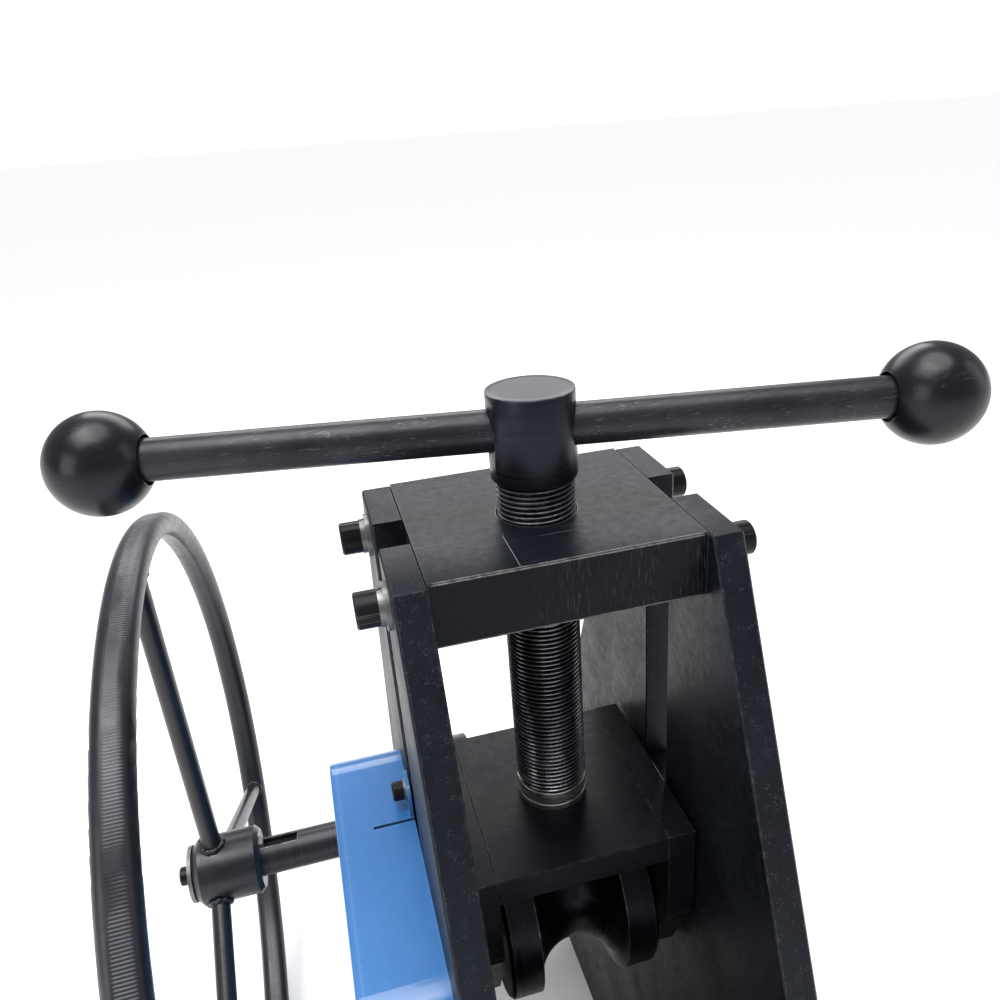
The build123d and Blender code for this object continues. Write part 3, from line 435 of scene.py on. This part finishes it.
def bronze(name):
    """Turned bearing bronze, stained brown in places."""
    t = Tree(name)
    rings = t.noise(1.0, 2.0, 0.6, t.scaled((1100.0, 30.0, 30.0)))
    stain = t.noise(150.0, 5.0, 0.6)
    color = t.blend(t.span(stain, 0.4, 0.7), (0.55, 0.36, 0.16), (0.30, 0.18, 0.08))
    r = t.span(rings, 0.3, 0.75, 0.24, 0.40)
    return t.done(color, r, 1.0, t.bump(rings, 0.00002))


def oiled_gear(name):
    """Cut steel gear with dark grease in the roots."""
    t = Tree(name)
    rings = t.noise(900.0, 3.0, 0.6)
    grease = t.span(t.noise(110.0, 5.0, 0.65), 0.45, 0.62)
    color = t.blend(t.math("MULTIPLY", grease, 0.8), (0.34, 0.34, 0.35), (0.045, 0.035, 0.022))
    r = t.fmix(grease, t.span(rings, 0.3, 0.7, 0.26, 0.40), 0.18)
    m = t.math("SUBTRACT", 1.0, t.math("MULTIPLY", grease, 0.6))
    return t.done(color, r, m, t.bump(rings, 0.00002))


# ---- finishes for the CAD nodes ----------------------------------------------------------
bar_axis = joints["bar_slide"]["axis"]
wheel_pos = joints["wheel_turn"]["pos_m"]
rim_low, rim_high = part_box("wheel_rim")
rim_centre = tuple((a + b) / 2 for a, b in zip(rim_low, rim_high))
rim_radius = (rim_high[2] - rim_low[2]) / 2

plate = black_steel("plate_black_oxide", rough=0.44, grain=0.00005, specks=0.28, marks=(0, 1.2, 0),
                    wear=0.22, cloud=0.8, mark_gain=0.0)
block = block_steel("block_black_oxide")
carriage = black_steel("carriage_black_oxide", base=(0.0055, 0.0065, 0.0095), rough=0.36,
                       marks=(0, 0, 1.35), wear=0.18, mark_gain=0.12)
foot = black_steel("foot_black_oxide", rough=0.50, grain=0.00006, marks=(0, 0, 1.5), specks=0.2)
screw_black = black_steel("fastener_black", base=(0.008, 0.008, 0.010), rough=0.32, wear=0.30,
                          wear_r=0.0005)
turned_x = turned_steel("turned_roller", "x", rough=0.32, wear=0.6)
shaft_x = turned_steel("turned_shaft", "x", base=(0.030, 0.030, 0.034), rough=0.34, pitch=2200.0,
                       relief=0.00001, bright=0.12)
bright = bright_steel("zinc_bright")
polished = bright_steel("bearing_bright", base=(0.84, 0.83, 0.80), rough=0.34,
                        brush=(300.0, 300.0, 900.0))
bronze_m = bronze("bearing_bronze")
gear_m = oiled_gear("gear_oiled")
blue = blue_paint("cover_blue")
rim_m = rim_paint("rim_lacquer", rim_centre, rim_radius)
lacquer_m = lacquer("hub_lacquer")
knob = knob_plastic("knob_phenolic")
bar_m = bar_steel("bar_dull_black", bar_axis)
# the head's top face gets a painted highlight (top=0.12)
head_m = turned_steel("screw_head_black", "z", base=(0.009, 0.0105, 0.017), rough=0.32, pitch=1600.0,
                      wear=0.45, bright=0.08, top=0.12)
thread_m = turned_steel("screw_thread_black", "z", base=(0.010, 0.011, 0.016), rough=0.24, pitch=500.0,
                        wear=0.5, bright=0.12, crest=(0.01450, 0.01488))

finish_of = {
    plate: ["side_plate_left", "side_plate_right"],
    block: ["top_block"],
    carriage: ["carriage_plate", "cheek_left", "cheek_right", "guide_key_left", "guide_key_right"],
    foot: ["angle_foot_left", "angle_foot_right"],
    screw_black: ["top_screws", "tie_screws", "foot_screws", "cover_screws", "cheek_screws", "key_screws",
                  "retaining_screw", "hub_bolt"],
    turned_x: ["upper_roller", "front_roller", "rear_roller"],
    shaft_x: ["drive_shaft", "front_shaft", "front_spacers", "rear_spacers", "tie_bar_front",
              "tie_bar_rear"],
    bright: ["top_washers", "top_lock_washers", "cover_washers", "hub_washer", "retaining_washer",
             "front_clips", "rear_clips", "upper_axle", "front_keys", "rear_keys", "wheel_key"],
    polished: ["bearing_lower_race", "bearing_upper_race", "bearing_balls", "bearing_cage"],
    bronze_m: ["shaft_bushes", "roller_bush_left", "roller_bush_right", "idler_bush"],
    gear_m: ["front_gear", "rear_gear", "idler_gear", "idler_stud"],
    blue: ["cover_face", "cover_skirt"],
    rim_m: ["wheel_rim"],
    lacquer_m: ["wheel_hub", "wheel_spokes"],
    knob: ["ball_knob_left", "ball_knob_right"],
    bar_m: ["tommy_bar"],
    head_m: ["press_screw"],
}
for material, names in finish_of.items():
    for name in names:
        mesh = frame["nodes"][name].data
        mesh.materials.clear()
        mesh.materials.append(material)


# ---- added pieces ---------------------------------------------------------------------------
def new_object(name, verts, faces, material, smooth_deg=35.0):
    """A smooth-shaded object whose edges past the angle stay sharp."""
    mesh = bpy.data.meshes.new(name)
    mesh.from_pydata(verts, [], faces)
    mesh.validate()
    mesh.update()
    for p in mesh.polygons:
        p.use_smooth = True
    mesh.set_sharp_from_angle(angle=math.radians(smooth_deg))
    mesh.materials.append(material)
    obj = bpy.data.objects.new(name, mesh)
    bpy.context.scene.collection.objects.link(obj)
    return obj


def lathe(profile, segments=96):
    """Closed solid turned about Z from (radius, height) points; the first and last are on the axis."""
    verts, faces = [], []
    inner = profile[1:-1]
    for r, z in inner:
        for k in range(segments):
            a = 2 * math.pi * k / segments
            verts.append((r * math.cos(a), r * math.sin(a), z))
    for i in range(len(inner) - 1):
        for k in range(segments):
            n = (k + 1) % segments
            a, b = i * segments, (i + 1) * segments
            faces.append((a + k, a + n, b + n, b + k))
    low, high = len(verts), len(verts) + 1
    verts += [(0, 0, profile[0][1]), (0, 0, profile[-1][1])]
    last = (len(inner) - 1) * segments
    for k in range(segments):
        n = (k + 1) % segments
        faces.append((low, n, k))
        faces.append((high, last + k, last + n))
    return verts, faces


def helix(z0, z1, r_top, r_root, pitch, segments=64):
    """Right-hand thread as a tube of quads, cut down to its root at both ends."""
    steps = ((0.0, r_root), (0.14, r_root), (0.48, r_top), (0.62, r_top))
    plain = 0.4 * MM
    turns = int((z1 - z0) / pitch) + 2
    rows = turns * len(steps)
    verts, faces = [], []
    for i in range(rows):
        share, r = steps[i % len(steps)]
        for k in range(segments):
            z = z0 + (i // len(steps) + share + k / segments - 1.0) * pitch
            a = 2 * math.pi * k / segments
            radius = r if z0 + plain < z < z1 - plain else r_root
            z = min(max(z, z0), z1)
            verts.append((radius * math.cos(a), radius * math.sin(a), z))
    for i in range(rows - 1):
        for k in range(segments - 1):
            a, b = i * segments + k, (i + 1) * segments + k
            faces.append((a, a + 1, b + 1, b))
    step = len(steps)
    for i in range(rows - 1 - step):
        k = segments - 1
        low, high = (i + step) * segments, (i + step + 1) * segments
        faces.append((i * segments + k, low, high, (i + 1) * segments + k))
    return verts, faces


def press_screw():
    """Press screw with a true helical thread, a turned head and a chamfered cross hole."""
    low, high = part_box("press_screw")
    race_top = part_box("bearing_upper_race")[1][2]
    head_r = (high[0] - low[0]) / 2
    bar_low, bar_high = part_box("tommy_bar")
    bar_z = (bar_low[2] + bar_high[2]) / 2
    bar_r = (bar_high[2] - bar_low[2]) / 2
    head_z = high[2] - HEAD_HEIGHT
    turns = helix(race_top + 1.0 * MM, head_z - 0.2 * MM, THREAD_CREST_R, THREAD_ROOT_R, THREAD_PITCH)
    thread = new_object("screw_thread", *turns, thread_m, 25.0)
    chamfer = 0.7 * MM
    head_profile = [
        (0, head_z - 0.4 * MM), (13.4 * MM, head_z - 0.4 * MM), (14.9 * MM, head_z),
        (head_r - 0.3 * MM, head_z + 0.5 * MM), (head_r, head_z + 1.2 * MM), (head_r, high[2] - chamfer),
        (head_r - 0.25 * chamfer, high[2] - 0.3 * chamfer), (head_r - chamfer, high[2]),
        (head_r - 3 * MM, high[2] - 0.03 * MM), (0, high[2] - 0.05 * MM)]
    head = new_object("screw_head", *lathe(head_profile, 128), head_m, 30.0)
    core_profile = [
        (0, low[2]), (8.0 * MM, low[2]), (SPIGOT_R, low[2] + 0.5 * MM), (SPIGOT_R, race_top - 0.1 * MM),
        (12.4 * MM, race_top + 0.05 * MM), (CORE_R, race_top + 1.2 * MM), (CORE_R, head_z - 0.5 * MM),
        (0, head_z - 0.5 * MM)]
    core = new_object("screw_spigot", *lathe(core_profile), head_m)
    hole_r, mouth_r, reach = bar_r + 0.1 * MM, bar_r + 1.3 * MM, 30 * MM
    hole_profile = [
        (0, -reach), (mouth_r, -reach), (mouth_r, -head_r - 0.5 * MM), (hole_r, -head_r + 2.0 * MM),
        (hole_r, head_r - 2.0 * MM), (mouth_r, head_r + 0.5 * MM), (mouth_r, reach), (0, reach)]
    cutter = new_object("cross_hole", *lathe(hole_profile, 64), head_m)
    turn = Vector(bar_axis).to_track_quat("Z", "Y").to_matrix()
    cutter.matrix_world = Matrix.Translation((0, 0, bar_z)) @ turn.to_4x4()
    bpy.context.view_layer.update()
    mod = head.modifiers.new("hole", "BOOLEAN")
    mod.object = cutter
    mod.operation = "DIFFERENCE"
    mod.solver = "EXACT"
    evaluated = head.evaluated_get(bpy.context.evaluated_depsgraph_get())
    mesh = bpy.data.meshes.new_from_object(evaluated)
    head.modifiers.clear()
    head.data = mesh
    bpy.data.objects.remove(cutter)
    for obj in (thread, head, core):
        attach(obj, "screw")
    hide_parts("press_screw")


def weld_bead(name, centre, direction, ring_r, bead_r, seed):
    """Lumpy fillet weld round a spoke end."""
    rng = random.Random(seed)
    steps, around, ripples = 44, 12, 9
    turn = Vector(direction).to_track_quat("Z", "Y").to_matrix()
    waves = [math.sin(k * 2 * math.pi * ripples / steps) for k in range(steps)]
    lump = [1.0 + 0.16 * wave + rng.uniform(-0.06, 0.06) for wave in waves]
    verts, faces = [], []
    for k in range(steps):
        a = 2 * math.pi * k / steps
        for j in range(around):
            b = 2 * math.pi * j / around
            r = ring_r + bead_r * lump[k] * math.cos(b)
            p = Vector((r * math.cos(a), r * math.sin(a), bead_r * lump[k] * 0.8 * math.sin(b)))
            verts.append(tuple(Vector(centre) + turn @ p))
    for k in range(steps):
        for j in range(around):
            a, b = (k + 1) % steps, (j + 1) % around
            faces.append((k * around + j, a * around + j, a * around + b, k * around + b))
    obj = new_object(name, verts, faces, lacquer_m, 60.0)
    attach(obj, "hand_wheel")


press_screw()
hub_low, hub_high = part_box("wheel_hub")
hub_r = (hub_high[2] - hub_low[2]) / 2
for i, degrees in enumerate(SPOKE_DEGREES):
    a = math.radians(degrees)
    out = Vector((0, math.cos(a), math.sin(a)))
    middle = Vector((rim_centre[0], wheel_pos[1], wheel_pos[2]))
    at_hub = middle + out * (hub_r + 0.2 * MM)
    at_rim = middle + out * (rim_radius - RIM_BEAD_DEPTH)
    weld_bead(f"weld_hub_{i + 1}", at_hub, out, *HUB_BEAD, i)
    weld_bead(f"weld_rim_{i + 1}", at_rim, out, *RIM_BEAD, i + 7)


# ---- stage: pale floor, soft light, camera ------------------------------------------------------
def stage_floor():
    """A wide pale disc just under the feet."""
    verts, faces = [(0, 0, FLOOR_Z)], []
    for k in range(FLOOR_SIDES):
        a = 2 * math.pi * k / FLOOR_SIDES
        verts.append((FLOOR_RADIUS * math.cos(a), FLOOR_RADIUS * math.sin(a), FLOOR_Z))
    for k in range(FLOOR_SIDES):
        faces.append((0, k + 1, (k + 1) % FLOOR_SIDES + 1))
    t = Tree("floor_pale")
    fine = t.noise(40.0, 4.0)
    color = t.blend(t.span(fine, 0.3, 0.7), (0.90, 0.90, 0.90), (0.93, 0.93, 0.93))
    pale = t.done(color, 0.75, 0.0, t.bump(t.noise(300.0, 3.0), 0.0001))
    floor = new_object("floor", verts, faces, pale)


def area(name, place, target, size, power):
    """A soft rectangular light that faces the target."""
    data = bpy.data.lights.new(name, "AREA")
    data.shape = "RECTANGLE"
    data.size, data.size_y = size
    data.energy = power
    obj = bpy.data.objects.new(name, data)
    bpy.context.scene.collection.objects.link(obj)
    obj.location = place
    obj.rotation_euler = (Vector(target) - Vector(place)).to_track_quat("-Z", "Y").to_euler()


def photo_camera():
    """Camera where the photo was taken: close, above the front left corner, looking down."""
    place = Vector((-0.0765, -0.2767, 0.5739))
    right = Vector((0.965577, -0.250795, -0.069009))
    down = Vector((-0.164372, -0.382683, -0.909140))
    ahead = Vector((0.201599, 0.889188, -0.410733))
    data = bpy.data.cameras.new("photo_view")
    data.sensor_width = SENSOR_WIDTH
    data.lens = SENSOR_WIDTH * PHOTO_FOCAL
    data.clip_start = 0.01
    obj = bpy.data.objects.new("photo_view", data)
    bpy.context.scene.collection.objects.link(obj)
    turn = Matrix((right, -down, -ahead)).transposed()
    obj.matrix_world = Matrix.Translation(place) @ turn.to_4x4()
    bpy.context.scene.camera = obj


def overhead_sun():
    """Even light from straight above, with wide soft shadows."""
    data = bpy.data.lights.new("even_overhead", "SUN")
    data.energy = 2.4
    data.angle = math.radians(50)
    obj = bpy.data.objects.new("even_overhead", data)
    bpy.context.scene.collection.objects.link(obj)
    obj.location = (0, 0, 3)


def studio_world():
    """A white backdrop to the camera, and a dimmer, slightly blue light on the object."""
    world = bpy.data.worlds.new("studio")
    world.use_nodes = True
    nodes, link = world.node_tree.nodes, world.node_tree.links.new
    ray = nodes.new("ShaderNodeLightPath")
    mix = nodes.new("ShaderNodeMixShader")
    seen = nodes.new("ShaderNodeBackground")
    soft = nodes["Background"]
    soft.inputs[0].default_value = (0.93, 0.96, 1.0, 1.0)
    soft.inputs[1].default_value = 0.36
    seen.inputs[0].default_value = (1.0, 1.0, 1.0, 1.0)
    link(ray.outputs["Is Camera Ray"], mix.inputs[0])
    link(soft.outputs[0], mix.inputs[1])
    link(seen.outputs[0], mix.inputs[2])
    link(mix.outputs[0], nodes["World Output"].inputs[0])
    bpy.context.scene.world = world


stage_floor()
area("key_overhead", (-0.6, -0.2, 2.1), (0, 0, 0.35), (1.2, 1.0), 14)
area("fill_left", (-1.9, -1.2, 1.1), (0, 0, 0.3), (1.2, 1.4), 12)
area("fill_right", (1.9, -0.4, 1.2), (0, 0, 0.3), (0.8, 1.4), 4)
area("rear_strip", (0.3, 2.0, 1.7), (0, 0, 0.35), (2.2, 0.9), 26)
overhead_sun()
studio_world()
bpy.context.scene.view_settings.view_transform = "Standard"
bpy.context.scene.view_settings.exposure = 0.0
photo_camera()
